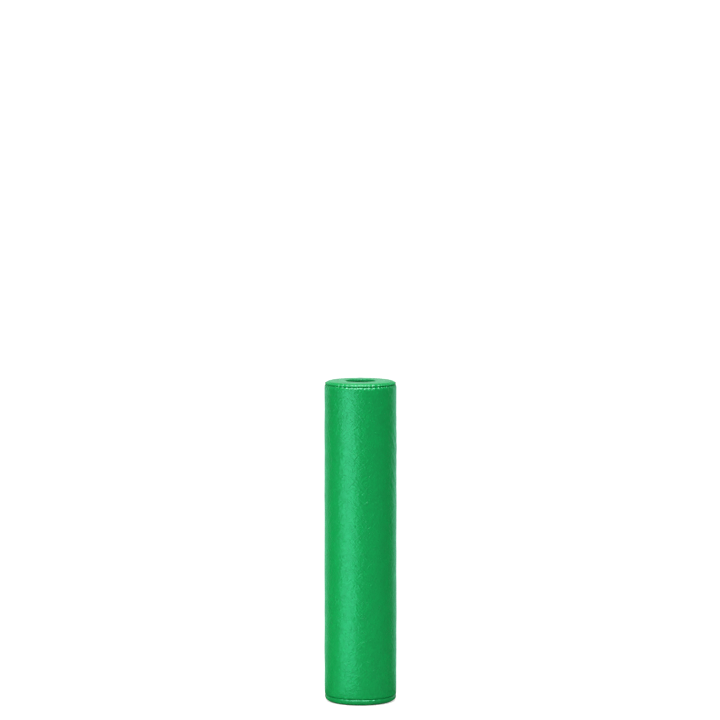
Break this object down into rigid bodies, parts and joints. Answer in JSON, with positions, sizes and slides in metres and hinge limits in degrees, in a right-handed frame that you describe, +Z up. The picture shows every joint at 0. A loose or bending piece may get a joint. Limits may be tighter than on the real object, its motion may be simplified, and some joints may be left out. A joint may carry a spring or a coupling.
{
  "type": "goal post pad",
  "caption": "Tall round foam pad in a sewn vinyl cover with a bore for a pipe post, slit and closed at the back by a hook-and-loop flap.",
  "frame": {"origin": "centre of the bore at the bottom, on the plane that the pad stands on", "axes": "+Z up along the bore; -Y is the front, the side in the picture; +Y is the back with the slit and the closure flap; +X is to the right seen from the front"},
  "size_m": [0.4086, 0.4061, 1.831],
  "materials": {
    "foam": "matte",
    "green_vinyl": "satin",
    "bore_vinyl": "satin",
    "hook_tape": "matte",
    "loop_tape": "matte",
    "brass": "satin"
  },
  "bodies": {
    "left_half": {"foam_core_left": "foam", "cover_left": "green_vinyl", "top_cap_left": "green_vinyl", "bottom_cap_left": "green_vinyl", "bore_liner_left": "bore_vinyl", "slit_panel_left": "green_vinyl", "hook_strip": "hook_tape", "vent_eyelet_left_low": "brass", "vent_eyelet_left_high": "brass", "vent_washer_left_low": "brass", "vent_washer_left_high": "brass"},
    "right_half": {"foam_core_right": "foam", "cover_right": "green_vinyl", "top_cap_right": "green_vinyl", "bottom_cap_right": "green_vinyl", "bore_liner_right": "bore_vinyl", "slit_panel_right": "green_vinyl", "flap_hem": "green_vinyl", "vent_eyelet_right_low": "brass", "vent_eyelet_right_high": "brass", "vent_washer_right_low": "brass", "vent_washer_right_high": "brass"},
    "closure_flap": {"flap_panel": "green_vinyl", "loop_strip": "loop_tape"}
  },
  "joints": [
    {"name": "fold_open", "type": "hinge", "parent": "left_half", "child": "right_half", "pos_m": [0, -0.2043, 0], "axis": [0, 0, -1], "range_deg": [0, 45], "stiffness_Nm_per_rad": 15},
    {"name": "flap_peel", "type": "hinge", "parent": "right_half", "child": "closure_flap", "pos_m": [0.03, 0.1982, 0], "axis": [0, 0, -1], "range_deg": [0, 160]}
  ]
}
